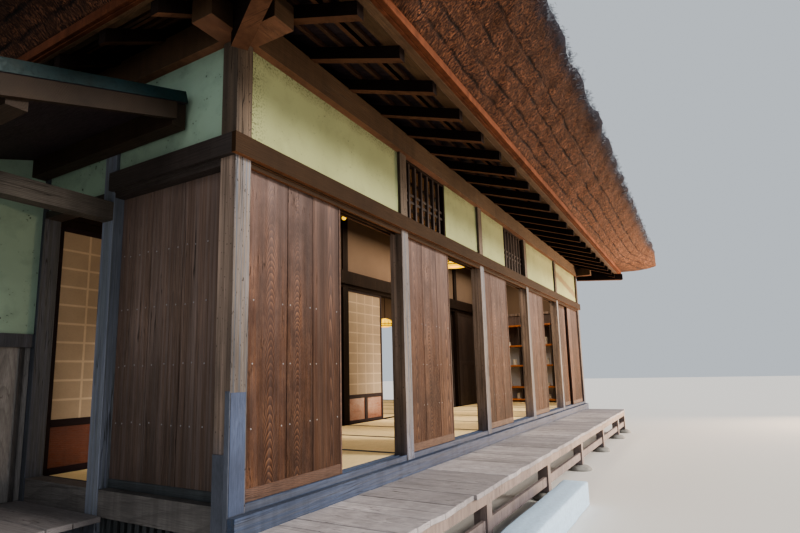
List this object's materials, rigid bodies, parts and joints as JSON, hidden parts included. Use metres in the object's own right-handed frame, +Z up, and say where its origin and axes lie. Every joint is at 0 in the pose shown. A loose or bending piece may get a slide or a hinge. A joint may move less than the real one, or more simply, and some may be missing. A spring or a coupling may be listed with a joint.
{
  "type": "thatched farmhouse",
  "caption": "Single-storey timber farmhouse with a thick hipped thatch roof, sliding board shutters, a front veranda on legs and a lean-to porch.",
  "frame": {"origin": "centre of the footprint at the ground", "axes": "+X along the front towards its right end, -Y out of the front with the veranda, +Z up"},
  "size_m": [11.664, 10.278, 8.425],
  "materials": {
    "stone": "rough",
    "granite": "rough",
    "posts": "weathered",
    "sill": "weathered",
    "rail": "satin",
    "plaster": "matt lime plaster",
    "dark_wood": "satin",
    "boards": "weathered",
    "mats": "woven rush",
    "paper": "matt",
    "ceiling_boards": "matt",
    "lamp": "matt",
    "shelf": "satin",
    "plate": "satin",
    "rafters": "matt",
    "soffit": "matt",
    "thatch": "rough straw",
    "bark": "rough bark",
    "deck": "weathered",
    "copper": "weathered sheet copper",
    "light_wood": "weathered"
  },
  "bodies": {
    "house": {"foundation_kerb": "stone", "veranda_stones": "stone", "step_stone": "granite", "front_posts": "posts", "left_posts": "posts", "right_frame": "posts", "back_frame": "posts", "front_sill": "sill", "left_sill": "sill", "front_lintel": "rail", "left_lintel": "rail", "front_plaster": "plaster", "left_plaster": "plaster", "right_plaster": "plaster", "back_plaster": "plaster", "left_inner_wall": "plaster", "partition_plaster": "plaster", "wing_plaster": "plaster", "front_window_1": "dark_wood", "front_window_2": "dark_wood", "partition_frame": "dark_wood", "fixed_leaf_4": "dark_wood", "fixed_leaf_5": "dark_wood", "fixed_leaf_6": "dark_wood", "wing_frame": "dark_wood", "wing_dado": "dark_wood", "left_boards": "boards", "right_boards_near": "boards", "right_boards_far": "boards", "back_boards": "boards", "floor": "mats", "fixed_leaf_1": "paper", "fixed_leaf_2": "paper", "fixed_leaf_3": "paper", "ceiling": "ceiling_boards", "pendant_lamp_1": "lamp", "pendant_lamp_2": "lamp", "display_shelf": "shelf", "wall_plates": "plate", "eave_rafters": "rafters", "eave_soffit": "soffit", "eave_fascia": "soffit", "thatch_roof": "thatch", "ridge_cap": "bark", "veranda_deck": "deck", "veranda_frame": "deck", "porch_floor": "deck", "lean_to_roof": "copper", "lean_to_frame": "light_wood", "porch_beam": "light_wood"},
    "board_door": {"board_door": "dark_wood"},
    "shoji_1": {"shoji_1": "paper"},
    "shoji_2": {"shoji_2": "paper"},
    "shutter_1": {"shutter_1": "boards"},
    "shutter_2": {"shutter_2": "boards"},
    "shutter_3": {"shutter_3": "boards"},
    "shutter_4": {"shutter_4": "boards"},
    "shutter_5": {"shutter_5": "boards"},
    "shutter_6": {"shutter_6": "boards"}
  },
  "joints": [
    {"name": "board_door_slide", "type": "slide", "parent": "house", "child": "board_door", "axis": [1, 0, 0], "range_m": [0, 0.832]},
    {"name": "shoji_1_slide", "type": "slide", "parent": "house", "child": "shoji_1", "axis": [1, 0, 0], "range_m": [0, 0.832]},
    {"name": "shoji_2_slide", "type": "slide", "parent": "house", "child": "shoji_2", "axis": [1, 0, 0], "range_m": [0, 0.832]},
    {"name": "shutter_1_slide", "type": "slide", "parent": "house", "child": "shutter_1", "axis": [1, 0, 0], "range_m": [0, 0.819]},
    {"name": "shutter_2_slide", "type": "slide", "parent": "house", "child": "shutter_2", "axis": [1, 0, 0], "range_m": [0, 0.819]},
    {"name": "shutter_3_slide", "type": "slide", "parent": "house", "child": "shutter_3", "axis": [1, 0, 0], "range_m": [0, 0.819]},
    {"name": "shutter_4_slide", "type": "slide", "parent": "house", "child": "shutter_4", "axis": [1, 0, 0], "range_m": [0, 0.819]},
    {"name": "shutter_5_slide", "type": "slide", "parent": "house", "child": "shutter_5", "axis": [1, 0, 0], "range_m": [-0.819, 0]},
    {"name": "shutter_6_slide", "type": "slide", "parent": "house", "child": "shutter_6", "axis": [1, 0, 0], "range_m": [-0.354, 0.46]}
  ]
}
